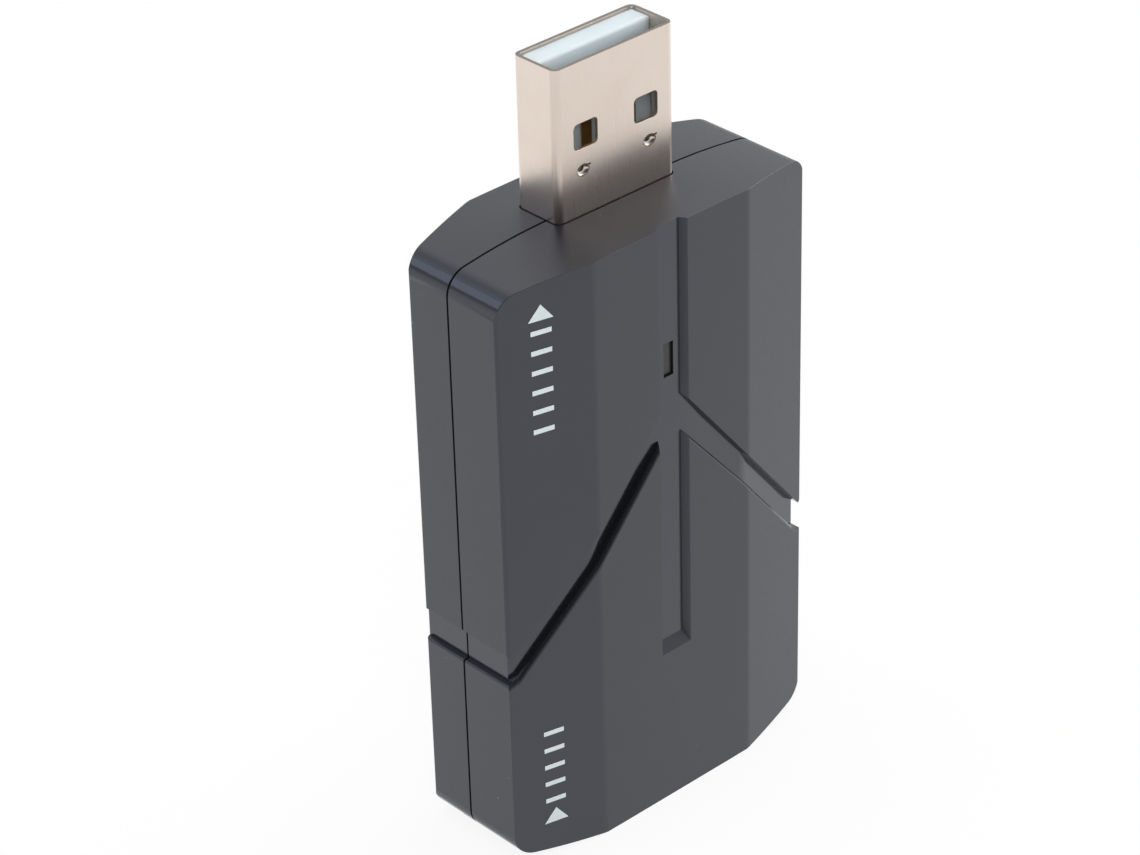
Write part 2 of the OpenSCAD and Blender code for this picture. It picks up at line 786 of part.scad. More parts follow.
// Insulator of the socket: a base that closes the shell and the tongue that carries the contacts
module socket_insulator() {
    color([0.1, 0.1, 0.11]) difference() {
        union() {
            socket_form(-socket_fit, socket_top - socket_base, socket_top);
            translate([-vane_w / 2, vane_front, socket_set + vane_set])
                cube([vane_w, vane_t, socket_l - vane_set - over]);
        }
        socket_contacts();
    }
}

// Places on the board: two rows of power parts below the plug, beside the light shield
shield_w = max(lamp_slot_w, lamp_w) + 2 * shield_wall;
shield_h = max(lamp_slot_h, lamp_l) + 2 * shield_wall;
first_x = shield_w / 2 + part_room;
power_h = max(coil_w, bulk_w, bead_w);
power_z = board_top - leg_l - part_room - power_h / 2;
bead_x = first_x + max(coil_w, bulk_l) + part_room + bead_l / 2;
feed_h = max(regulator_l, power_h);
feed_z = power_z - power_h / 2 - part_room - feed_h / 2;
regulator_x = first_x + regulator_reach + regulator_w / 2;
feed_x = regulator_x + regulator_w / 2 + regulator_reach + part_room;

// The capture chip between its rows of small parts, its memory and its crystal
upper_row_z = feed_z - feed_h / 2 - part_room - chip_part_w / 2;
chip_z = upper_row_z - chip_part_w / 2 - part_room - chip_w / 2;
lower_row_z = chip_z - chip_w / 2 - part_room - chip_part_w / 2;
resistor_z = lower_row_z - chip_part_w - part_room;
memory_x = chip_w / 2 + part_room + lead_reach + memory_w / 2;
crystal_x = chip_w / 2 + part_room + crystal_w / 2;
surge_z = pin_end + part_room + surge_w / 2;
row_pitch = chip_part_l + part_room;

// A boxed part on the front of the board: width, height and thickness, middle at x and z
module on_board(x, z, size) {
    translate([x - size[0] / 2, board_front - size[2], z - size[1] / 2])
        cube([size[0], size[2], size[1]]);
}

// A body between two end caps that stand a little proud of it, in one solid
module capped(x, z, size) {
    for (side = [-1, 1]) on_board(x + side * (size[0] - cap_l) / 2, z, [cap_l, size[1], size[2]]);
    on_board(x, z, [size[0] - cap_l, size[1] - 2 * cap_proud, size[2] - cap_proud]);
}

// Lead that leaves a body half-way up, bends down and lies on the board
module gull_lead(x, z, side, reach, rise) {
    half = reach / 2;
    translate([x, board_front, z - lead_w / 2]) mirror([side < 0 ? 1 : 0, 0, 0])
        linear_extrude(lead_w) polygon([
            [-lead_t, -rise - lead_t], [half, -rise - lead_t], [half, -lead_t], [reach, -lead_t],
            [reach, 0], [half - lead_t, 0], [half - lead_t, -rise], [-lead_t, -rise]
        ]);
}

// Moulded chip with bent leads on its left and right, placed in steps of the pitch
module leaded_chip(x, z, size, pitch, reach, left, right) {
    on_board(x, z, size);
    for (step = left) gull_lead(x - size[0] / 2, z + step * pitch, -1, reach, size[2] / 2);
    for (step = right) gull_lead(x + size[0] / 2, z + step * pitch, 1, reach, size[2] / 2);
}

module capture_chip() {
    mark = chip_w / 2 - mark_set;
    color([0.12, 0.12, 0.13]) difference() {
        on_board(0, chip_z, [chip_w, chip_w, chip_t]);
        translate([-mark, board_front - chip_t + mark_depth, chip_z + mark]) rotate([90, 0, 0])
            cylinder(r = mark_r, h = mark_depth + over);
    }
}

module memory_chip() {
    steps = [-1.5 : 1.5];
    color([0.12, 0.12, 0.13]) leaded_chip(-memory_x, chip_z, [memory_w, memory_l, memory_t],
        lead_pitch, lead_reach, steps, steps);
}

module crystal() {
    color([0.78, 0.78, 0.76]) {
        on_board(crystal_x, chip_z, [crystal_w, crystal_l, crystal_t - lid_step]);
        on_board(crystal_x, chip_z, [crystal_w - 2 * lid_step, crystal_l - 2 * lid_step, crystal_t]);
    }
}

module voltage_regulators() {
    color([0.14, 0.14, 0.15]) for (side = [-1, 1])
        leaded_chip(side * regulator_x, feed_z, [regulator_w, regulator_l, regulator_t],
            regulator_pitch, regulator_reach, [-1, 0, 1], [-1, 1]);
}

// Square inductors with a round wound core showing in the top
module power_inductors() {
    color([0.3, 0.3, 0.31]) {
        inductor(first_x + coil_w / 2, power_z);
        inductor(feed_x + coil_w / 2, feed_z);
    }
}

module inductor(x, z) {
    difference() {
        on_board(x, z, [coil_w, coil_w, coil_t]);
        translate([x, board_front - coil_t + ring_depth, z]) rotate([90, 0, 0]) difference() {
            cylinder(r = ring_r, h = ring_depth + over);
            translate([0, 0, -over]) cylinder(r = ring_r - ring_w, h = ring_depth + 3 * over);
        }
    }
}

// Lamp with a clear dome block between two soldered ends
module status_lamp() {
    color([0.92, 0.9, 0.8]) {
        on_board(0, lamp_z, [lamp_w, lamp_l, lamp_foot_t]);
        on_board(0, lamp_z, [lamp_w, lamp_dome_l, lamp_t]);
    }
}

// Clear bar between the lamp and its slot: a wide part pressed into the shield, stopped by the wall,
// and a narrow end that shows in the slot
module light_guide() {
    stop = front_y + wall;
    end = front_y + groove_depth + guide_set;
    slot = [lamp_slot_w - 2 * guide_clear, lamp_slot_h - 2 * guide_clear];
    color([0.8, 0.82, 0.84]) translate([0, 0, lamp_z]) rotate([-90, 0, 0]) {
        translate([0, 0, end]) linear_extrude(stop + guide_l - end) square(slot, center = true);
        translate([0, 0, stop]) linear_extrude(guide_l)
            square([shield_w - 2 * shield_wall, shield_h - 2 * shield_wall], center = true);
    }
}

module row_of(count, z, thickness) {
    for (i = [0 : count - 1])
        capped((i - (count - 1) / 2) * row_pitch, z, [chip_part_l, chip_part_w, thickness]);
}

module ceramic_capacitors() {
    beside = (crystal_l + chip_part_w) / 2 + part_room;
    color([0.72, 0.58, 0.42]) {
        row_of(row_count, upper_row_z, capacitor_t);
        row_of(row_count, lower_row_z, capacitor_t);
        for (side = [-1, 1])
            capped(crystal_x, chip_z + side * beside, [chip_part_l, chip_part_w, capacitor_t]);
    }
}

module chip_resistors() {
    color([0.15, 0.15, 0.16]) row_of(row_count + 1, resistor_z, resistor_t);
}

module bulk_capacitors() {
    color([0.85, 0.65, 0.2]) {
        capped(-first_x - bulk_l / 2, power_z, [bulk_l, bulk_w, bulk_t]);
        capped(-feed_x - bulk_l / 2, feed_z, [bulk_l, bulk_w, bulk_t]);
    }
}

module surge_protectors() {
    color([0.13, 0.13, 0.14]) for (i = [-1 : 1])
        capped(i * (surge_l + part_room), surge_z, [surge_l, surge_w, surge_t]);
}

module ferrite_beads() {
    color([0.3, 0.29, 0.28]) for (side = [-1, 1])
        capped(side * bead_x, power_z, [bead_l, bead_w, bead_t]);
}

front_shell();
rear_shell();
plug_shell();
plug_insulator();
plug_contacts();
circuit_board();
socket_shell();
socket_insulator();
socket_contacts();
capture_chip();
memory_chip();
crystal();
voltage_regulators();
power_inductors();
status_lamp();
light_guide();
ceramic_capacitors();
chip_resistors();
bulk_capacitors();
surge_protectors();
ferrite_beads();
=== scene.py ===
import json
import math

import bmesh
import bpy
from mathutils import Matrix, Vector


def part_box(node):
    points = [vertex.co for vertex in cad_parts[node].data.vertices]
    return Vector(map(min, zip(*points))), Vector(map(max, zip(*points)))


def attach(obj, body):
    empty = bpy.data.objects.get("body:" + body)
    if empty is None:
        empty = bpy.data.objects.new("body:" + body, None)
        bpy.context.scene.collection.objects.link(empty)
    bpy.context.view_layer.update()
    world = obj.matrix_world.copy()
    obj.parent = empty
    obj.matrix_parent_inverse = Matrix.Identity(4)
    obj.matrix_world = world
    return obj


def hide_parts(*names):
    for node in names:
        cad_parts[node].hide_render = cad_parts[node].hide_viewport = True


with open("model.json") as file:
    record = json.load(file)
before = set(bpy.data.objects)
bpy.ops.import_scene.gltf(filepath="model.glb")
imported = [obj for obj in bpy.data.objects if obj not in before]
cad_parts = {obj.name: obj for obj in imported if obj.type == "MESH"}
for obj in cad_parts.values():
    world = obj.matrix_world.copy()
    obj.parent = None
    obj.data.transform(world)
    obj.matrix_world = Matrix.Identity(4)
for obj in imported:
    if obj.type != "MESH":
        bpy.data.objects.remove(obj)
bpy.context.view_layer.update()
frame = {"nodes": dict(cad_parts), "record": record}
mm = 0.001  # pieces are drawn in millimetres and scaled to metres when they are done
print("frame loaded:", len(frame["nodes"]), "nodes")

# Places that come from the frame, in millimetres
shellLow, shellHigh = (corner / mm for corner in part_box("front_shell"))
halfWidth, topZ, faceY = shellHigh.x, shellHigh.z, shellLow.y
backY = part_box("rear_shell")[1].y / mm
plugLow, plugHigh = (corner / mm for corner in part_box("plug_shell"))
slotOf = {subpart["node"]: subpart["material_slot"] for subpart in frame["record"]["subparts"]}

caseForm = {
    "seamY": 0.325,  # parting plane between the shells
    "seamGap": 0.15,  # open line on the outside
    "seamSoft": 0.035,  # edge break along the parting line
    "endFlat": 11.4,  # straight middle of both ends
    "shoulderRadius": 57.0,  # wide arcs that fall away to the corners
    "cornerRadius": 2.0,
    "arcSteps": 12,
    "faceWidth": 16.0,  # flat middle of the face and the back
    "sideFront": 5.2,  # seam to the front edge of a side
    "sideRear": 4.35,
    "bendRadius": 4.0,  # soft bends beside the flat middle
    "edgeSoft": 0.36,  # rounding round the face and the back
    "skinInset": 0.012,  # keeps the new skin just inside the CAD faces
    "lipDepth": 1.5,  # room inside the seam for the rear shell's lip
    "lipInset": 0.5,
}

grooves = {
    "depth": 0.75,
    "channelDepth": 0.6,
    "floorRise": (1.6, 3.4),  # where a branch's floor rises to the channel's
    "lipSoft": 0.07,  # edge break of crisp lips
    "channelLip": 1.56,  # half width at the face
    "channelFloor": 1.22,
    "channelSoft": 0.1,  # rounding of its side lips
    "channelEnd": 37.7,  # top of the case to the lower lip
    "channelRamp": 1.0,
    "upperLip": ((0, 13.6), (8, 23.44), (15.45, 31.95)),  # from the middle outwards, below the top of the case
    "lowerLip": ((0, 16.95), (14.9, 34.07), (15.9, 34.5)),
    "lowerSoft": 0.42,  # rounding of the lower lip
    "draft": 0.02,  # lean of the branch walls over their depth
    "notchDrop": 31.7,
    "notchHeight": 2.85,
    "notchDepth": 0.46,
    "notchSlope": 0.4,  # run of the notch's upper wall
    "notchShelf": 0.05,  # run of its lower wall
    "notchLip": 0.12,  # rounding of its upper lip
    "notchSoft": 0.26,  # rounding of its lower lip
    "slot": (1.008, 2.908),  # width and height of the lamp's slot
    "slotDrop": 10.2,  # top of the case to the slot
    "slotMiddle": 1.45,  # and on to its middle
    "slotReach": 2.4,  # length of the cut, half of it below the face
}

# Tools that cut the grooves
cutters = {
    "lift": 0.5,  # how far a tool stands out of the case
    "past": 2.0,  # how far it runs past an end
    "aside": 1.0,  # to a point on the face, which only gives a lip its direction
}

# Blocks that close the CAD grooves, so that the shaped ones can be cut
fills = {
    "channelHalf": 1.9,
    "channelSpan": (-0.5, 1.05),  # depths below the face
    "channelRise": 0.3,  # above the top of the case
    "channelPast": 1.0,  # past the channel's lower lip
    "branchSpan": (-0.4, 1.1),
    "branchStart": 1.05,  # from the middle
    "branchPast": 0.3,  # past a side
    "upperMargin": 0.2,  # beyond a branch's lips
    "lowerMargin": 0.5,
    "notchMargin": 0.2,  # lower margin beside the notch
    "notchReach": 0.9,  # where it begins, before the lip's turn
    "turnRing": 1.0,  # an extra ring before the turn
}

# Faces below the outer skin, which the mould leaves smoother
smoothParts = {
    "floor": (0.25, 1.0),  # depths below the face
    "floorFacing": 0.5,
    "wall": (0.15, 0.8),
    "wallAcross": (1.7, halfWidth - 1),
    "wallHeight": (2.0, topZ - 1.5),
    "side": (0.15, 0.8),  # depths below a side
    "sideFacing": 0.7,
}

meshCare = {
    "weld": 0.0005,  # millimetres between points that become one
    "carvedWeld": 0.0004,
    "middleGap": 0.001,  # across the lines that the outline is mirrored on
    "sliver": 0.01,  # where roundings meet
    "thinEdge": 0.0002,
    "flatAngle": 0.08,  # degrees between faces that become one
    "cadFlatAngle": 0.5,
    "sharpAngle": 40,  # degrees at an edge that is rounded
    "creaseAngle": 30,  # and at one that is shaded as a crease
}


def within(value, limits):
    return limits[0] < value < limits[1]


def hexLinear(code):
    parts = [int(code[i:i + 2], 16) / 255 for i in (1, 3, 5)]
    return [c / 12.92 if c <= 0.04045 else ((c + 0.055) / 1.055) ** 2.4 for c in parts] + [1.0]


def only(geom, kind):
    return [item for item in geom if isinstance(item, kind)]


def soften(bm, edges, width, segments):
    bmesh.ops.bevel(bm, geom=edges, offset=width, offset_type="OFFSET", affect="EDGES", segments=segments,
                    profile=0.5, material=-1, clamp_overlap=True)


def trim(bm, point, normal):  # cuts away what lies outside a plane and closes the cut
    everything = bm.verts[:] + bm.edges[:] + bm.faces[:]
    cut = bmesh.ops.bisect_plane(bm, geom=everything, plane_co=point, plane_no=normal, clear_outer=True)
    bmesh.ops.edgeloop_fill(bm, edges=only(cut["geom_cut"], bmesh.types.BMEdge))


def push(bm, face, offset):  # extrudes a face and returns its far end
    inside = any(len(edge.link_faces) > 1 for edge in face.edges)
    grown = bmesh.ops.extrude_face_region(bm, geom=[face])["geom"]
    if inside:
        bmesh.ops.delete(bm, geom=[face], context="FACES_ONLY")
    bmesh.ops.translate(bm, verts=only(grown, bmesh.types.BMVert), vec=offset)
    return only(grown, bmesh.types.BMFace)[0]


def outward(bm):
    bmesh.ops.recalc_face_normals(bm, faces=bm.faces[:])
    return bm


def addBlock(bm, size, centre):
    verts = bmesh.ops.create_cube(bm, size=1)["verts"]
    bmesh.ops.scale(bm, vec=size, verts=verts)
    bmesh.ops.translate(bm, vec=centre, verts=verts)
    return bm


def prism(points, offset):
    bm = bmesh.new()
    push(bm, bm.faces.new([bm.verts.new(point) for point in points]), offset)
    return outward(bm)


def loft(rings):  # a face pushed from ring to ring
    bm = bmesh.new()
    face = bm.faces.new([bm.verts.new(point) for point in rings[0]])
    for last, ring in zip(rings, rings[1:]):
        face = push(bm, face, (0, 0, 0))
        for vert in face.verts:
            nearest = min(range(len(ring)), key=lambda i: (last[i] - vert.co).length)
            vert.co = ring[nearest]
    return outward(bm)


def roundedLip(out, lip, foot, radius, steps=4, lean=1.0):  # arc from the face, past the lip, onto the wall
    squeeze = Matrix.Diagonal((1, 1, lean))  # a lip that runs aslant is rounded across its own run
    out, lip, foot = (squeeze @ point for point in (out, lip, foot))
    along, down = (out - lip).normalized(), (foot - lip).normalized()
    half = along.angle(down) / 2
    centre = lip + (along + down).normalized() * radius / math.sin(half)
    start, end = (lip + way * radius / math.tan(half) - centre for way in (along, down))
    arc = [centre + start.slerp(end, i / steps) * radius for i in range(steps + 1)]
    return [squeeze.inverted() @ point for point in arc]


def asObject(name, bm):
    mesh = bpy.data.meshes.new(name)
    bm.to_mesh(mesh)
    bm.free()
    piece = bpy.data.objects.new(name, mesh)
    bpy.context.scene.collection.objects.link(piece)
    return piece


def carve(piece, steps):  # exact booleans in turn, then one clean mesh
    for operation, bm in steps:
        tool = asObject("tool", bm)
        cut = piece.modifiers.new(operation, "BOOLEAN")
        cut.operation, cut.object, cut.solver = operation, tool, "EXACT"
    graph = bpy.context.evaluated_depsgraph_get()
    made = bmesh.new()
    made.from_mesh(piece.evaluated_get(graph).to_mesh())
    for cut in list(piece.modifiers):
        bpy.data.objects.remove(cut.object)
    bpy.data.objects.remove(piece)
    bmesh.ops.remove_doubles(made, verts=made.verts[:], dist=meshCare["carvedWeld"])
    return made


def cadCopy(node):  # a node's own mesh, closed and in millimetres
    bm = bmesh.new()
    bm.from_mesh(frame["nodes"][node].data)
    bmesh.ops.scale(bm, vec=(1 / mm,) * 3, verts=bm.verts[:])
    bmesh.ops.remove_doubles(bm, verts=bm.verts[:], dist=meshCare["weld"])
    return bm


def joinFlats(bm, degrees):
    bmesh.ops.dissolve_limit(bm, angle_limit=math.radians(degrees), verts=bm.verts[:], edges=bm.edges[:])
    return bm


def flatCopy(node):  # a copy whose flat faces are whole
    return joinFlats(cadCopy(node), meshCare["cadFlatAngle"])


def sharpEdges(bm):
    least = math.radians(meshCare["sharpAngle"])
    return [edge for edge in bm.edges if len(edge.link_faces) == 2 and edge.calc_face_angle() > least]


def softCopy(node, width):
    bm = flatCopy(node)
    soften(bm, sharpEdges(bm), width, 2)
    return bm


def markGrooves(bm):
    smooth = bm.faces.layers.float.new("groove")
    for face in bm.faces:
        centre = face.calc_center_median()
        across = abs(centre.x)
        deep = centre.y - faceAt(centre.x)
        floor = within(deep, smoothParts["floor"]) and face.normal.y < -smoothParts["floorFacing"]
        wall = (face.normal.z > 0 and within(deep, smoothParts["wall"])
                and within(across, smoothParts["wallAcross"]) and within(centre.z, smoothParts["wallHeight"]))
        side = within(halfWidth - across, smoothParts["side"]) and abs(face.normal.x) > smoothParts["sideFacing"]
        face[smooth] = float(floor or wall or side)


def finishPiece(name, bm, material, slot, nodes):
    bmesh.ops.dissolve_degenerate(bm, dist=meshCare["thinEdge"], edges=bm.edges[:])
    joinFlats(bm, meshCare["flatAngle"])
    bmesh.ops.scale(bm, vec=(mm,) * 3, verts=bm.verts[:])
    openEdges = sum(not edge.is_manifold for edge in bm.edges)
    bm.normal_update()
    for face in bm.faces:
        face.smooth = True
    crease = math.radians(meshCare["creaseAngle"])
    for edge in bm.edges:
        edge.smooth = edge.is_manifold and edge.calc_face_angle() < crease
    piece = asObject(name, bm)
    shading = piece.modifiers.new("shading", "WEIGHTED_NORMAL")
    shading.mode, shading.keep_sharp, shading.weight = "FACE_AREA", True, 50
    piece.data.materials.append(material)
    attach(piece, "root")
    if nodes:
        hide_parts(*nodes)
    print("piece", name, "faces", len(piece.data.polygons), "open edges", openEdges)
    return piece


def finishNode(name, bm, node):  # a piece that stands for one node, with the finish of that node's slot
    finishPiece(name, bm, finishes[slotOf[node]], slotOf[node], [node])


# One quarter of the front view, spun from its arcs and mirrored, as a face across Y
def outlineFace(bm, y):
    inset = caseForm["skinInset"]
    flat, radius, corner = (caseForm[key] for key in ("endFlat", "shoulderRadius", "cornerRadius"))
    lean = math.asin((halfWidth - corner - flat / 2) / (radius - corner))
    shoulder = Vector((flat / 2, y, topZ / 2 - radius))
    turn = shoulder + (radius - corner) * Vector((math.sin(lean), 0, math.cos(lean)))
    first = bm.verts.new(shoulder + Vector((0, 0, radius - inset)))
    last = [first]
    for centre, angle in ((shoulder, lean), (turn, math.pi / 2 - lean)):
        swept = bmesh.ops.spin(bm, geom=last, cent=centre, axis=(0, 1, 0), angle=angle, steps=caseForm["arcSteps"])
        last = only(swept["geom_last"], bmesh.types.BMVert)
    for axis, ends in (("X", (first,)), ("Z", last)):
        for end in ends:  # runs the ends to the middle lines, so that the mirrored parts meet
            middle = bm.verts.new(end.co * Vector((axis != "X", 1, axis != "Z")))
            bm.edges.new((end, middle))
    for axis in ("X", "Z"):
        geom = bm.verts[:] + bm.edges[:]
        bmesh.ops.mirror(bm, geom=geom, axis=axis, merge_dist=meshCare["middleGap"])
    bmesh.ops.remove_doubles(bm, verts=bm.verts[:], dist=meshCare["weld"])
    straight = [v for v in bm.verts if min(abs(v.co.x), abs(v.co.z)) < meshCare["middleGap"]]
    bmesh.ops.dissolve_verts(bm, verts=straight)
    bmesh.ops.translate(bm, verts=bm.verts[:], vec=(0, 0, topZ / 2))
    return bmesh.ops.edgeloop_fill(bm, edges=bm.edges[:])["faces"][0]


# Smooth outside of one shell: side is -1 for the front and 1 for the rear
def caseSkin(side):
    inset, seam = caseForm["skinInset"], caseForm["seamY"]
    outerY = faceY if side < 0 else backY
    sideDepth = caseForm["sideFront"] if side < 0 else caseForm["sideRear"]
    halfFace = caseForm["faceWidth"] / 2
    slant = math.atan2(abs(outerY - seam) - sideDepth, halfWidth - halfFace)
    start = seam + side * (caseForm["seamGap"] / 2 + inset)
    bm = bmesh.new()
    push(bm, outlineFace(bm, start), (0, outerY - side * inset - start, 0))
    for way in (-1, 1):
        normal = Vector((way * math.sin(slant), side * math.cos(slant), 0))
        trim(bm, Vector((way * halfFace, outerY, 0)) - normal * inset, normal)
    outward(bm)

    def between(less, more):  # edges whose two faces lean outwards within these limits
        found = []
        for edge in bm.edges:
            leans = sorted(side * face.normal.y for face in edge.link_faces)
            if len(leans) == 2 and within(leans[0], less) and within(leans[1], more):
                found.append(edge)
        return found

    # Cosines of the lean: towards the seam, none, outwards, and outwards split into facets and flat middle
    inner, upright, outer = (-1.1, -0.9), (-0.1, 0.1), (0.9, 1.1)
    facet, middle = (0.9, 0.9999), (0.9999, 1.1)
    soften(bm, between(facet, middle), caseForm["bendRadius"] * math.tan(slant / 2), 4)
    outward(bm)
    soften(bm, between(upright, outer), caseForm["edgeSoft"], 6)
    outward(bm)
    soften(bm, between(inner, upright), caseForm["seamSoft"], 2)
    bmesh.ops.remove_doubles(bm, verts=bm.verts[:], dist=meshCare["sliver"])
    return outward(bm)


def faceAt(x):  # depth of the front face, with its soft bend
    halfFace = caseForm["faceWidth"] / 2
    slope = (abs(faceY - caseForm["seamY"]) - caseForm["sideFront"]) / (halfWidth - halfFace)
    reach = caseForm["bendRadius"] * math.tan(math.atan(slope) / 2)
    past = abs(x) - halfFace
    if past <= -reach:
        return faceY
    if past >= reach:
        return faceY + past * slope
    return faceY + slope * (past + reach) ** 2 / (4 * reach)


def channelTool():
    depth, lip, floor = grooves["channelDepth"], grooves["channelLip"], grooves["channelFloor"]
    high, low = topZ + cutters["past"], topZ - grooves["channelEnd"] - cutters["past"]
    onFace = Vector((lip + cutters["aside"], faceY, high))
    foot = Vector((floor, faceY + depth, high))
    half = roundedLip(onFace, Vector((lip, faceY, high)), foot, grooves["channelSoft"])
    half = [half[0] - Vector((0, cutters["lift"], 0))] + half + [foot]
    mirrored = [Vector((-p.x, p.y, p.z)) for p in reversed(half)]
    bm = prism(half + mirrored, (0, 0, low - high))
    trim(bm, (0, faceY, topZ - grooves["channelEnd"]), Vector((0, grooves["channelRamp"], -depth)))
    return outward(bm)


def channelFill():
    half, (above, below) = fills["channelHalf"], fills["channelSpan"]
    high, low = topZ + fills["channelRise"], topZ - grooves["channelEnd"] - fills["channelPast"]
    corners = ((-half, above), (half, above), (half, below), (-half, below))
    return prism([Vector((x, faceY + deep, high)) for x, deep in corners], (0, 0, low - high))


def slotTool():
    width, height = grooves["slot"]
    centre = (0, faceY, topZ - grooves["slotDrop"] - grooves["slotMiddle"])
    return addBlock(bmesh.new(), (width, grooves["slotReach"], height), centre)


def lipDrop(lip, x):  # drop of a bent lip at a distance from the middle
    corners = grooves[lip]
    pair = next((i for i in range(len(corners) - 2) if x <= corners[i + 1][0]), len(corners) - 2)
    (x0, drop0), (x1, drop1) = corners[pair:pair + 2]
    return drop0 + (drop1 - drop0) * (x - x0) / (x1 - x0)


def branchRings(way, places, section):  # cross sections of a branch from the middle outwards
    rings = []
    for x in places:
        y = faceAt(x)
        upper, lower = topZ - lipDrop("upperLip", x), topZ - lipDrop("lowerLip", x)
        rings.append(section(x, upper, lower, lambda z, deep: Vector((way * x, y + deep, z))))
    return loft(rings)


# Rings of a branch: round the bend of the face, and where the lower lip turns
bendPlaces = [caseForm["faceWidth"] / 2 + step for step in (-0.5, -0.25, 0, 0.25, 0.5)]
lipTurn = grooves["lowerLip"][1][0]


def branchDepth(x):
    begins, ends = grooves["floorRise"]
    share = min(max((x - begins) / (ends - begins), 0), 1)
    return grooves["channelDepth"] + (grooves["depth"] - grooves["channelDepth"]) * share


def branchTool(way):
    draft, aside = grooves["draft"], cutters["aside"]
    (x0, drop0), (x1, drop1) = grooves["lowerLip"][:2]
    lean = math.cos(math.atan2(drop1 - drop0, x1 - x0))
    lift = Vector((0, -cutters["lift"], 0))

    def section(x, upper, lower, place):
        topFoot, lowFoot = place(upper - draft, branchDepth(x)), place(lower + draft, branchDepth(x))
        top = roundedLip(place(upper + aside, 0), place(upper, 0), topFoot, grooves["lipSoft"], 4, lean)
        low = roundedLip(place(lower - aside, 0), place(lower, 0), lowFoot, grooves["lowerSoft"], 8, lean)
        return [top[0] + lift] + top + [topFoot, lowFoot] + low[::-1] + [low[0] + lift]

    places = [0, *grooves["floorRise"], *bendPlaces, lipTurn, halfWidth + cutters["lift"]]
    return branchRings(way, places, section)


def branchFill(way):
    above, below = fills["branchSpan"]
    besideNotch = lipTurn - fills["notchReach"]

    def section(x, upper, lower, place):
        high = upper + fills["upperMargin"]
        low = lower - fills["lowerMargin" if x < besideNotch else "notchMargin"]
        return [place(z, deep) for z, deep in ((high, above), (high, below), (low, below), (low, above))]

    ends = [lipTurn - fills["turnRing"], lipTurn, halfWidth + fills["branchPast"]]
    return branchRings(way, [fills["branchStart"], *bendPlaces, *ends], section)


def notchTool(way):
    depth, aside = grooves["notchDepth"], cutters["aside"]
    high = topZ - grooves["notchDrop"]
    low = high - grooves["notchHeight"]

    def place(out, z):
        return Vector((way * (halfWidth + out), faceY - cutters["past"] / 2, z))

    upperFoot, lowerFoot = place(-depth, high - grooves["notchSlope"]), place(-depth, low + grooves["notchShelf"])
    upper = roundedLip(place(0, high + aside), place(0, high), upperFoot, grooves["notchLip"])
    lower = roundedLip(place(0, low - aside), place(0, low), lowerFoot, grooves["notchSoft"], 6)
    lift = Vector((way * cutters["lift"], 0, 0))
    ring = [upper[0] + lift] + upper + [upperFoot, lowerFoot] + lower[::-1] + [lower[0] + lift]
    return prism(ring, (0, backY - faceY + cutters["past"], 0))


# Materials
noiseSpan = (0.3, 0.7)  # most values of a noise texture
roughSpread = 0.05  # how far roughness wanders with the grain


def newMaterial(name):
    material = bpy.data.materials.new(name)
    material.use_nodes = True
    return material, material.node_tree, material.node_tree.nodes["Principled BSDF"]


def setInputs(tree, node, inputs):  # sockets by name, or by i and their number, get a value or a link
    for key, value in inputs.items():
        socket = node.inputs[int(key[1:])] if key[1:].isdigit() else node.inputs[key]
        if isinstance(value, bpy.types.NodeSocket):
            tree.links.new(value, socket)
        else:
            socket.default_value = value


def addNode(tree, kind, settings=None, **inputs):
    node = tree.nodes.new(kind)
    for key, value in (settings or {}).items():
        setattr(node, key, value)
    setInputs(tree, node, inputs)
    return node


def perMetre(size):  # texture scale for a pattern of that many millimetres
    return 1 / (size * mm)


def objectPlace(tree):
    return addNode(tree, "ShaderNodeTexCoord").outputs["Object"]


def noise(tree, place, size, detail, roughness=0.5):
    texture = addNode(tree, "ShaderNodeTexNoise", Vector=place, Scale=perMetre(size), Detail=detail,
                      Roughness=roughness)
    return texture.outputs["Fac"]


def remap(tree, value, span, levels, settings=None):
    (low, high), (first, last) = span, levels
    node = addNode(tree, "ShaderNodeMapRange", settings, Value=value, i1=low, i2=high, i3=first, i4=last)
    return node.outputs["Result"]


def combine(tree, operation, first, second):
    return addNode(tree, "ShaderNodeMath", {"operation": operation}, i0=first, i1=second).outputs[0]


def alongWay(tree, place, way):
    node = addNode(tree, "ShaderNodeVectorMath", {"operation": "DOT_PRODUCT"}, i0=place, i1=way)
    return node.outputs["Value"]


def mixValues(tree, share, first, second):
    return addNode(tree, "ShaderNodeMix", {"data_type": "FLOAT"}, i0=share, i2=first, i3=second).outputs[0]


def mixTones(tree, share, *tones):  # tones are colour codes or sockets
    first, second = (hexLinear(tone) if isinstance(tone, str) else tone for tone in tones)
    return addNode(tree, "ShaderNodeMix", {"data_type": "RGBA"}, i0=share, i6=first, i7=second).outputs[2]


def faceMark(tree, name):
    return addNode(tree, "ShaderNodeAttribute", {"attribute_name": name}).outputs["Fac"]


def bumped(tree, height, strength, depth):
    node = addNode(tree, "ShaderNodeBump", Strength=strength, Distance=depth * mm, Height=height)
    return node.outputs["Normal"]


def rayKinds(tree):  # seen by the camera, and mirrored or passed through
    rays = addNode(tree, "ShaderNodeLightPath").outputs
    return rays["Is Camera Ray"], combine(tree, "MAXIMUM", rays["Is Glossy Ray"], rays["Is Transmission Ray"])


caseLook = {
    "blacks": ("#16171a", "#1b1c1f"),
    "mottleSize": 7.0,
    "grainSize": 0.16,
    "grainBump": (0.22, 0.012),  # strength, and height in millimetres
    "roughness": (0.34, 0.42),
    "grooveRoughness": 0.14,
    "dust": "#6f7274",
    "dustSpacing": 2.6,
    "dustSize": (0.028, 0.018),  # rim and core of a fleck, as shares of the spacing
    "dustFree": 0.82,  # share of places without one
    "ior": 1.54,
    "gloss": 0.92,
    "glossTint": "#eef1ff",
}


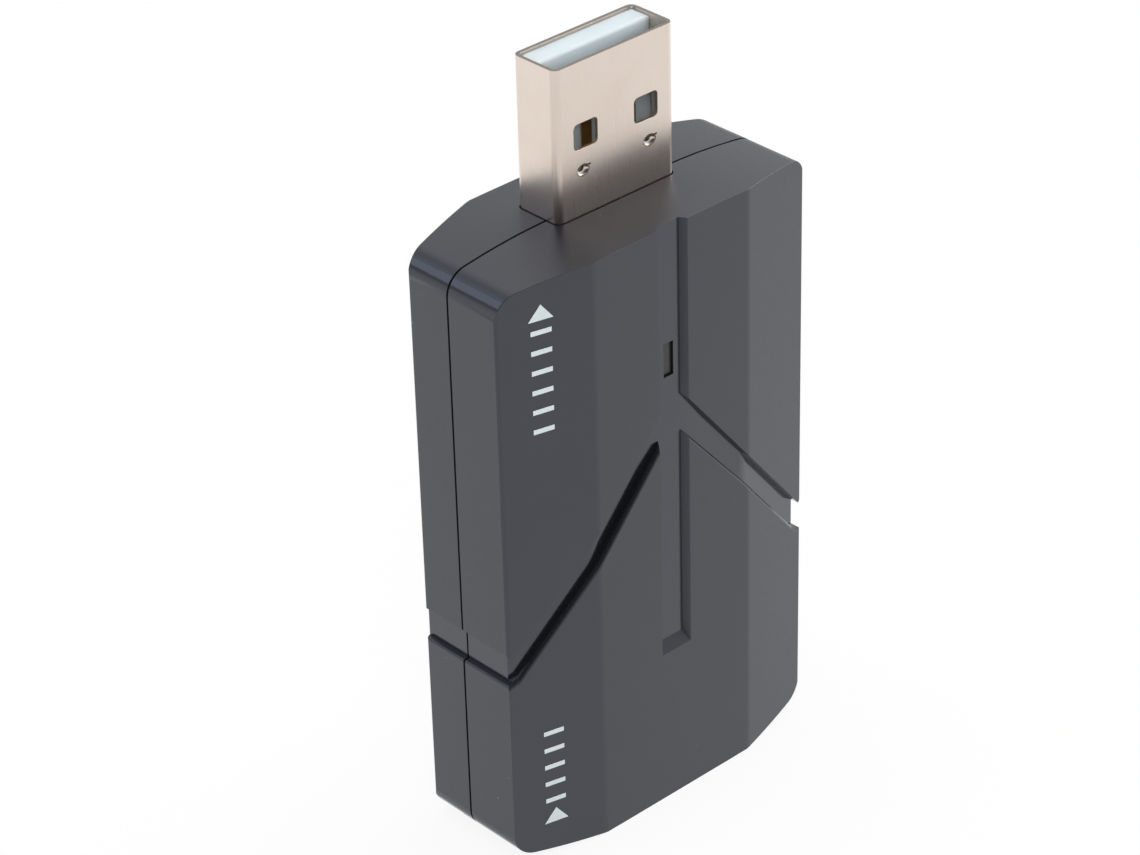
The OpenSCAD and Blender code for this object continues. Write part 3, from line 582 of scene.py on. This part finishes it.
# ABS from a finely eroded mould: almost black, satin, an even grain and the odd fleck of dust
def casePlastic():
    material, tree, shader = newMaterial("ABS, black, eroded mould grain")
    place = objectPlace(tree)
    grain = noise(tree, place, caseLook["grainSize"], 3.0, 0.6)
    mottle = noise(tree, place, caseLook["mottleSize"], 2.0)
    cells = addNode(tree, "ShaderNodeTexVoronoi", Vector=place, Scale=perMetre(caseLook["dustSpacing"])).outputs
    fleck = remap(tree, cells["Distance"], caseLook["dustSize"], (0.0, 1.0))
    chance = addNode(tree, "ShaderNodeSeparateColor", Color=cells["Color"]).outputs["Red"]
    dust = combine(tree, "MULTIPLY", fleck, combine(tree, "GREATER_THAN", chance, caseLook["dustFree"]))
    rough = remap(tree, grain, noiseSpan, caseLook["roughness"])
    setInputs(tree, shader, {
        "Base Color": mixTones(tree, dust, mixTones(tree, mottle, *caseLook["blacks"]), caseLook["dust"]),
        "Roughness": mixValues(tree, faceMark(tree, "groove"), rough, caseLook["grooveRoughness"]),
        "Normal": bumped(tree, grain, *caseLook["grainBump"]),
        "IOR": caseLook["ior"],
        "Specular IOR Level": caseLook["gloss"],
        "Specular Tint": hexLinear(caseLook["glossTint"]),
    })
    return material


plugLook = {
    "plating": ("#e3d2c5", "#ece1d8"),
    "sheared": "#8d847a",  # bare cut edges of the strip
    "stainSize": 3.5,
    "lineSize": 0.12,
    "lineStretch": (1.0, 1.0, 0.06),  # long lines along the strip
    "lineBump": (0.025, 0.003),
    "roughness": (0.27, 0.3),
}


# Steel strip, folded and nickel plated: warm pale grey, satin, faint lines along the strip
def plugSteel():
    material, tree, shader = newMaterial("nickel plated steel, satin")
    place = objectPlace(tree)
    along = addNode(tree, "ShaderNodeMapping", Vector=place, Scale=plugLook["lineStretch"]).outputs[0]
    lines = noise(tree, along, plugLook["lineSize"], 4.0)
    stain = noise(tree, place, plugLook["stainSize"], 3.0, 0.55)
    plated = mixTones(tree, stain, *plugLook["plating"])
    setInputs(tree, shader, {
        "Base Color": mixTones(tree, faceMark(tree, "sheared"), plated, plugLook["sheared"]),
        "Roughness": remap(tree, lines, noiseSpan, plugLook["roughness"]),
        "Normal": bumped(tree, lines, *plugLook["lineBump"]),
        "Metallic": 1.0,
    })
    return material


# A plain moulding: two close tones, a fine grain, and a roughness that follows it
def moulded(name, dark, light, grainSize, roughness, ior=1.5, depth=0.01, glowDepth=0):
    material, tree, shader = newMaterial(name)
    place = objectPlace(tree)
    grain = noise(tree, place, grainSize, 3.0)
    cloud = noise(tree, place, grainSize * 14, 2.0)
    setInputs(tree, shader, {
        "Base Color": mixTones(tree, cloud, dark, light),
        "Roughness": remap(tree, grain, noiseSpan, (roughness - roughSpread, roughness + roughSpread)),
        "Normal": bumped(tree, grain, 0.2, depth),
        "IOR": ior,
    })
    if glowDepth:  # millimetres that light travels inside
        setInputs(tree, shader, {
            "Subsurface Weight": 0.8, "Subsurface Radius": (1, 1, 1), "Subsurface Scale": glowDepth * mm,
        })
    return material


# A plated metal: two close tones and fine rolling marks
def platedMetal(name, dark, light, roughness):
    material, tree, shader = newMaterial(name)
    place = objectPlace(tree)
    marks = noise(tree, place, 0.15, 3.0)
    cloud = noise(tree, place, 1.8, 2.0)
    setInputs(tree, shader, {
        "Base Color": mixTones(tree, cloud, dark, light),
        "Roughness": remap(tree, marks, noiseSpan, (roughness - roughSpread, roughness + roughSpread)),
        "Metallic": 1.0,
    })
    return material


finishes = {
    "case_plastic": casePlastic(),
    "plug_steel": plugSteel(),
    # PBT, moulded smooth: pale blue white with a soft gloss
    "plug_plastic": moulded("PBT, pale blue white", "#ccd9de", "#d5e1e6", grainSize=0.2, roughness=0.4, ior=1.55,
                            depth=0.004, glowDepth=2.0),
    # Bronze strip under thin gold: warm brown yellow
    "gilt_contact": platedMetal("bronze strip, gilt", "#bd8a4e", "#d8ad6c", roughness=0.4),
    # Glass laminate under solder resist: deep green, glossy
    "board_laminate": moulded("glass laminate, green resist", "#0f4a31", "#15583b", grainSize=0.5, roughness=0.3,
                              ior=1.55),
    # Steel strip, tin plated: cool grey, satin
    "socket_steel": platedMetal("tin plated steel", "#b9b9b8", "#cfcfcd", roughness=0.3),
    # LCP, moulded: black, dull
    "socket_plastic": moulded("LCP, black", "#121213", "#1a1a1b", grainSize=0.15, roughness=0.5),
    # Epoxy moulding compound: charcoal, dull
    "chip_resin": moulded("epoxy moulding compound", "#1b1b1d", "#242427", grainSize=0.1, roughness=0.55),
    # Nickel silver can, pressed: pale warm grey
    "crystal_can": platedMetal("nickel silver can", "#bdb9b0", "#d0cdc6", roughness=0.3),
    # Sintered ferrite: dark grey, dull
    "ferrite": moulded("sintered ferrite", "#2d2d2e", "#39393b", grainSize=0.1, roughness=0.6),
    # Clear lamp resin, seen against its pale phosphor
    "lamp_resin": moulded("lamp resin over phosphor", "#e2dcb4", "#efe9c8", grainSize=0.3, roughness=0.25,
                          depth=0.002),
    # Acrylic light guide, smoked: dark grey, smooth
    "guide_plastic": moulded("acrylic, smoked", "#2b2b2b", "#323231", grainSize=0.2, roughness=0.3, ior=1.49,
                             depth=0.003),
    # Fired ceramic: brown, matt
    "ceramic": moulded("fired ceramic", "#8d7454", "#a1876a", grainSize=0.1, roughness=0.5),
    # Tantalum case resin: ochre, dull
    "bulk_resin": moulded("case resin, ochre", "#c98f22", "#d79f33", grainSize=0.1, roughness=0.5),
}
# Pad printing ink: white, thin and slightly uneven
printInk = moulded("pad printing ink, white", "#cdd6d8", "#d9e1e2", grainSize=0.12, roughness=0.5, depth=0.004)
print("materials:", len(finishes) + 1)

for nodeName, slotName in slotOf.items():
    nodeMesh = frame["nodes"][nodeName].data
    nodeMesh.materials.clear()
    nodeMesh.materials.append(finishes[slotName])


def differences(*tools):  # each tool on the left and on the right
    return [("DIFFERENCE", tool(way)) for tool in tools for way in (-1, 1)]


# Front shell
skin = carve(asObject("skin", caseSkin(-1)), [("DIFFERENCE", channelTool())] + differences(branchTool, notchTool))
frontShell = carve(asObject("frontShell", cadCopy("front_shell")), [
    ("UNION", channelFill()), ("UNION", branchFill(-1)), ("UNION", branchFill(1)), ("DIFFERENCE", slotTool()),
    ("INTERSECT", skin),
])
markGrooves(frontShell)
finishNode("frontShell", frontShell, "front_shell")

# Rear shell; its lip reaches into the front shell, so the skin is joined by a block inside the seam
skin = carve(asObject("skin", caseSkin(1)), differences(notchTool))
lipInset = caseForm["lipInset"]
lipSize = (2 * (halfWidth - lipInset), 2 * caseForm["lipDepth"], topZ - 2 * lipInset)
lipRoom = addBlock(bmesh.new(), lipSize, (0, caseForm["seamY"], topZ / 2))
skin = carve(asObject("skin", skin), [("UNION", lipRoom)])
rearShell = carve(asObject("rearShell", cadCopy("rear_shell")), [("INTERSECT", skin)])
markGrooves(rearShell)
finishNode("rearShell", rearShell, "rear_shell")


# Plug shell: the folded tube with windows and lanced catches under them
plugDetail = {
    "edgeSoft": 0.05,
    "windowSoft": 0.13,  # rolled-in outer edge of the windows
    "faceReach": 0.01,  # edges on the outer face lie within this depth
    "wall": 0.2,  # and those inside the tube below this one
    "endRoom": 1.0,  # windows keep this far from the case and the rim
    "catchX": 3.38,
    "catchZ": 3.68,  # above the case
    "dish": (0.66, 0.34, 0.5),
    "slit": (1.05, 0.8, 0.15),
    "slitPlace": (0.22, 0, 0.3),  # right of and above the dish
    "shearedReach": 0.1,  # below the rim
    "shearedFacing": 0.6,
}


def plugShell():
    bm = flatCopy("plug_shell")
    rimZ = plugHigh.z - plugDetail["endRoom"]

    def onWindow(vert):
        return vert.co.y < plugLow.y + plugDetail["faceReach"] and topZ + plugDetail["endRoom"] < vert.co.z < rimZ

    def insideOrRim(vert):
        return vert.co.y > plugLow.y + plugDetail["wall"] or vert.co.z > rimZ

    for chosen, width, segments in ((onWindow, "windowSoft", 4), (insideOrRim, "edgeSoft", 3)):
        edges = [edge for edge in sharpEdges(bm) if all(chosen(vert) for vert in edge.verts)]
        soften(bm, edges, plugDetail[width], segments)
    cuts = []
    for way in (-1, 1):
        centre = Vector((way * plugDetail["catchX"], plugLow.y, topZ + plugDetail["catchZ"]))
        dish = bmesh.new()
        bmesh.ops.create_uvsphere(dish, u_segments=32, v_segments=20, radius=1)
        bmesh.ops.scale(dish, vec=plugDetail["dish"], verts=dish.verts[:])
        bmesh.ops.translate(dish, vec=centre, verts=dish.verts[:])
        slit = addBlock(bmesh.new(), plugDetail["slit"], centre + Vector(plugDetail["slitPlace"]))
        cuts += [("DIFFERENCE", dish), ("DIFFERENCE", slit)]
    made = carve(asObject("plugShell", bm), cuts)
    sheared = made.faces.layers.float.new("sheared")
    for face in made.faces:
        atRim = face.calc_center_median().z > plugHigh.z - plugDetail["shearedReach"]
        face[sheared] = float(atRim and face.normal.z > plugDetail["shearedFacing"])
    return made


finishNode("plugShell", plugShell(), "plug_shell")

tongueForm = {
    "recess": 0.12,  # its end is nearly flush with the rim
    "endSoft": 0.32,
    "endReach": 0.001,  # points that belong to the end
}


def plugTongue():
    bm = flatCopy("plug_insulator")
    tip = max(v.co.z for v in bm.verts)
    end = [v for v in bm.verts if v.co.z > tip - tongueForm["endReach"]]
    bmesh.ops.translate(bm, verts=end, vec=(0, 0, plugHigh.z - tongueForm["recess"] - tip))
    rim = [edge for edge in sharpEdges(bm) if all(vert in end for vert in edge.verts)]
    soften(bm, rim, tongueForm["endSoft"], 5)
    return bm


finishNode("plugTongue", plugTongue(), "plug_insulator")

guideForm = {
    "edgeSoft": 0.04,
    "recess": 0.22,  # its end comes nearly up to the floor of the channel
    "endReach": 0.1,
}


def lightGuide():
    bm = softCopy("light_guide", guideForm["edgeSoft"])
    front = min(v.co.y for v in bm.verts)
    end = [v for v in bm.verts if v.co.y < front + guideForm["endReach"]]
    bmesh.ops.translate(bm, verts=end, vec=(0, faceY + grooves["channelDepth"] + guideForm["recess"] - front, 0))
    return bm


finishNode("lightGuide", lightGuide(), "light_guide")

# Socket: the CAD forms with their edges broken
socketSoft = {"socket_shell": 0.05, "socket_insulator": 0.06}
for nodeName, name in (("socket_shell", "socketShell"), ("socket_insulator", "socketInsulator")):
    finishNode(name, softCopy(nodeName, socketSoft[nodeName]), nodeName)


# Printed marks on the left facet: an arrow head and a row of bars at each end
printMarks = {
    "middle": -12.3,  # across the case
    "width": 2.1,
    "barWidth": 1.74,
    "barHeight": 0.4,
    "headHeight": 1.3,
    "thickness": 0.02,
    "outlet": {"head": -3.43, "bars": (-4.4, -12.7, 6)},  # base of the head, first and last bar, count
    "inlet": {"head": -48.56, "bars": (-40.0, -46.4, 5)},
}


def printedMark(name, layout):
    bm = bmesh.new()
    half, thickness = printMarks["width"] / 2, printMarks["thickness"]
    base = topZ + layout["head"]
    head = [(-half, 0, base), (half, 0, base), (0, 0, base + printMarks["headHeight"])]
    push(bm, bm.faces.new([bm.verts.new(point) for point in head]), (0, -thickness, 0))
    first, last, count = layout["bars"]
    for i in range(count):
        z = topZ + first + (last - first) * i / (count - 1)
        addBlock(bm, (printMarks["barWidth"], thickness, printMarks["barHeight"]), (0, -thickness / 2, z))
    middle = printMarks["middle"]
    slope = math.atan(faceAt(middle) - faceAt(middle + 1))
    bmesh.ops.rotate(bm, cent=(0, 0, 0), matrix=Matrix.Rotation(-slope, 3, "Z"), verts=bm.verts[:])
    bmesh.ops.translate(bm, vec=(middle, faceAt(middle), 0), verts=bm.verts[:])
    finishPiece(name, outward(bm), printInk, None, [])


printedMark("outletMark", printMarks["outlet"])
printedMark("inletMark", printMarks["inlet"])
print("pieces done")

# Floor: a pale sheet that stays white to the camera and glows in reflections, with painted shade that darkens its
# glow towards the front left, and keeps a soft shadow
floorSheet = {
    "half": 3.0,  # metres
    "tone": "#f2f2f0",
    "roughness": 0.9,
    "mirroredGlow": 0.8,  # share of even white in reflections
    "cameraGlow": 0.88,  # and to the camera
    "paintedShadeWay": (0.6, 0.8, 0),  # painted shade: the floor's glow in reflections grows lighter this way
    "paintedShadeSpan": (-0.035, 0.012),  # metres
    "paintedShadeLevels": (0.83, 1.0),
}
floorMesh = bmesh.new()
bmesh.ops.create_grid(floorMesh, x_segments=1, y_segments=1, size=floorSheet["half"])
floor = asObject("floor", floorMesh)
paper, paperTree, paperShader = newMaterial("paper, white, matt")
setInputs(paperTree, paperShader, {"Base Color": hexLinear(floorSheet["tone"]), "Roughness": floorSheet["roughness"]})
seen, mirrored = rayKinds(paperTree)
glowShare = combine(paperTree, "MULTIPLY", mirrored, floorSheet["mirroredGlow"])
glowShare = mixValues(paperTree, seen, glowShare, floorSheet["cameraGlow"])
# Painted shade: the glow that reflections see is darker in front of and left of the case, a painted shadow on the
# floor
across = alongWay(paperTree, objectPlace(paperTree), floorSheet["paintedShadeWay"])
paintedShade = remap(paperTree, across, floorSheet["paintedShadeSpan"], floorSheet["paintedShadeLevels"])
white = combine(paperTree, "MAXIMUM", paintedShade, seen)
glow = addNode(paperTree, "ShaderNodeEmission", Color=(1, 1, 1, 1), Strength=white)
sheet = addNode(paperTree, "ShaderNodeMixShader", i0=glowShare, i1=paperShader.outputs[0], i2=glow.outputs[0])
paperTree.links.new(sheet.outputs[0], paperTree.nodes["Material Output"].inputs["Surface"])
floor.data.materials.append(paper)

# World: even soft light, white to the camera, darker in reflections of the room behind the camera
studio = {
    "ambient": 0.6,
    "bright": 0.95,  # in reflections, away from the dark parts
    "dark": 0.06,
    "darkWay": (-0.5, -0.55, 0.67),  # the room behind and above the camera
    "darkSpread": (0.12, 0.87),  # cosines where the dark part begins and is full
    "dim": 0.32,
    "dimWay": (-0.5, 0.6, 0.62),  # the far left corner of the room
    "dimSpread": (0.72, 0.95),
}
world = bpy.data.worlds.new("studio")
bpy.context.scene.world = world
world.use_nodes = True
worldTree = world.node_tree
roomWay = addNode(worldTree, "ShaderNodeTexCoord").outputs["Generated"]


def roomShade(part):  # brightness of the room, which falls towards one part of it
    turned = alongWay(worldTree, roomWay, studio[part + "Way"])
    levels = (studio["bright"], studio[part])
    return remap(worldTree, turned, studio[part + "Spread"], levels, {"interpolation_type": "SMOOTHSTEP"})


shade = combine(worldTree, "MULTIPLY", roomShade("dark"), roomShade("dim"))
seen, mirrored = rayKinds(worldTree)
level = mixValues(worldTree, mirrored, studio["ambient"], shade)
level = mixValues(worldTree, seen, level, 1.0)
setInputs(worldTree, worldTree.nodes["Background"], {"Color": (1, 1, 1, 1), "Strength": level})

# Lamps: a soft key overhead, a small cool one behind the left corner, one on the right and a fill on the left
lamps = [
    {"name": "key", "place": (0.05, 0.1, 0.9), "size": 0.6, "power": 1.5, "colour": (1.0, 0.98, 0.96)},
    {"name": "cool", "place": (-0.19, 0.2, 0.24), "size": 0.22, "power": 0.16, "colour": (0.7, 0.82, 1.0)},
    {"name": "side", "place": (0.36, -0.05, 0.3), "size": 0.25, "power": 0.8, "colour": (1.0, 1.0, 1.0)},
    {"name": "fill", "place": (-0.23, -0.25, 0.28), "size": 0.15, "power": 0.5, "colour": (0.97, 0.99, 1.0)},
]
lampTarget = 0.6  # share of the case's height that the lamps point at
for lamp in lamps:
    light = bpy.data.lights.new(lamp["name"], "AREA")
    light.size, light.energy, light.color = lamp["size"], lamp["power"], lamp["colour"]
    holder = bpy.data.objects.new(lamp["name"], light)
    holder.location = lamp["place"]
    aim = Vector((0, 0, topZ * mm * lampTarget)) - holder.location
    holder.rotation_euler = aim.to_track_quat("-Z", "Y").to_euler()
    holder.visible_glossy = lamp["name"] != "fill"  # the fill only lightens, it isn't mirrored
    bpy.context.scene.collection.objects.link(holder)

# Camera, fitted to the photograph from the plug's corners and the case's edges
viewpoint = {
    "azimuth": -42.227,
    "elevation": 31.417,
    "roll": -1.599,
    "aside": -2.629,  # of the case's top at the seam, millimetres across and up the picture
    "above": -17.462,
    "distance": 280.222,
    "lens": 118.79,
    "sensor": 36.0,
    "clip": (0.01, 20),  # metres
}
turn, rise, roll = (math.radians(viewpoint[key]) for key in ("azimuth", "elevation", "roll"))
back = Vector((math.sin(turn) * math.cos(rise), -math.cos(turn) * math.cos(rise), math.sin(rise)))
right = Vector((math.cos(turn), math.sin(turn), 0))
up = back.cross(right)
right, up = right * math.cos(roll) + up * math.sin(roll), up * math.cos(roll) - right * math.sin(roll)
aim = Vector((0, caseForm["seamY"], topZ))
stand = aim + right * viewpoint["aside"] + up * viewpoint["above"] + back * viewpoint["distance"]
cameraData = bpy.data.cameras.new("camera")
cameraData.lens, cameraData.sensor_width = viewpoint["lens"], viewpoint["sensor"]
cameraData.clip_start, cameraData.clip_end = viewpoint["clip"]
camera = bpy.data.objects.new("camera", cameraData)
camera.matrix_world = Matrix((right, up, back)).transposed().to_4x4()
camera.location = stand * mm
bpy.context.scene.collection.objects.link(camera)
bpy.context.scene.camera = camera
bpy.context.scene.view_settings.view_transform = "Standard"
print("camera, lamps and floor set")
